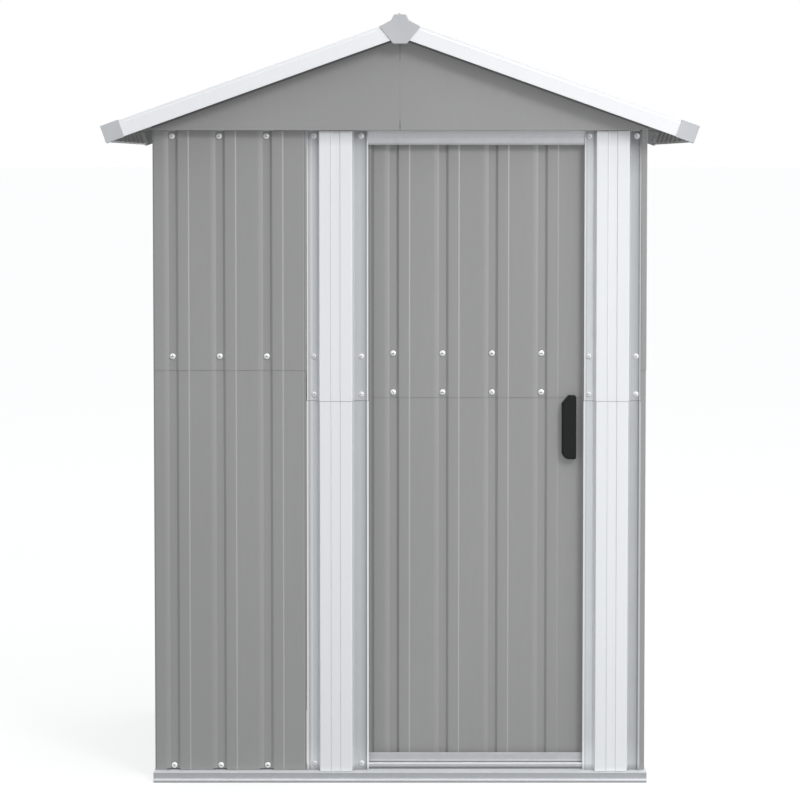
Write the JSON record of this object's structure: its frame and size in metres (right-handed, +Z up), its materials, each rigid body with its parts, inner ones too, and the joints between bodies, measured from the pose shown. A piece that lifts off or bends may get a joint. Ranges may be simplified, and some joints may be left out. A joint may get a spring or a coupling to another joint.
{
  "type": "metal storage shed",
  "caption": "Small metal storage shed with ribbed grey walls, a low gable roof with white fascias, white door jambs and a sliding door.",
  "frame": {"origin": "on the ground, below the middle of the roof", "axes": "+Z up, +Y towards the back wall, so the door faces -Y, and +X to the right of someone who faces the door"},
  "size_m": [1.356, 0.9782, 1.7604],
  "materials": {
    "wall_grey": "satin grey coil-coated steel sheet",
    "white_paint": "satin white coil-coated steel sheet",
    "galvanised": "galvanised steel with a fine spangle",
    "cap_plastic": "matt light grey moulded plastic",
    "handle_black": "matt black moulded plastic",
    "nylon": "off-white nylon"
  },
  "bodies": {
    "shed": {"base_rail_front": "galvanised", "base_rail_back": "galvanised", "base_rail_left": "galvanised", "base_rail_right": "galvanised", "bottom_track": "galvanised", "front_panel_lower": "wall_grey", "front_panel_upper": "wall_grey", "door_jamb_left_lower": "white_paint", "door_jamb_left_upper": "white_paint", "door_jamb_right_lower": "white_paint", "door_jamb_right_upper": "white_paint", "left_wall_lower": "wall_grey", "left_wall_upper": "wall_grey", "right_wall_lower": "wall_grey", "right_wall_upper": "wall_grey", "back_wall_lower": "wall_grey", "back_wall_upper": "wall_grey", "corner_posts": "galvanised", "door_header": "galvanised", "top_rail_left": "galvanised", "top_rail_right": "galvanised", "top_rail_back": "galvanised", "mid_rails": "galvanised", "gable_front": "wall_grey", "gable_back": "wall_grey", "ridge_beam": "galvanised", "roof_panel_left": "wall_grey", "roof_panel_right": "wall_grey", "ridge_cap": "white_paint", "ridge_end_caps": "cap_plastic", "fascia_front": "white_paint", "fascia_back": "white_paint", "eave_trims": "white_paint", "roof_corner_caps": "cap_plastic"},
    "door": {"door_panel_lower": "wall_grey", "door_panel_upper": "wall_grey", "door_top_rail": "galvanised", "door_bottom_rail": "galvanised", "door_stiles": "wall_grey", "door_handle": "handle_black", "door_hangers": "galvanised", "door_wheels": "nylon", "door_guides": "nylon"}
  },
  "joints": [
    {"name": "door_slide", "type": "slide", "parent": "shed", "child": "door", "axis": [-1, 0, 0], "range_m": [0, 0.43]}
  ]
}
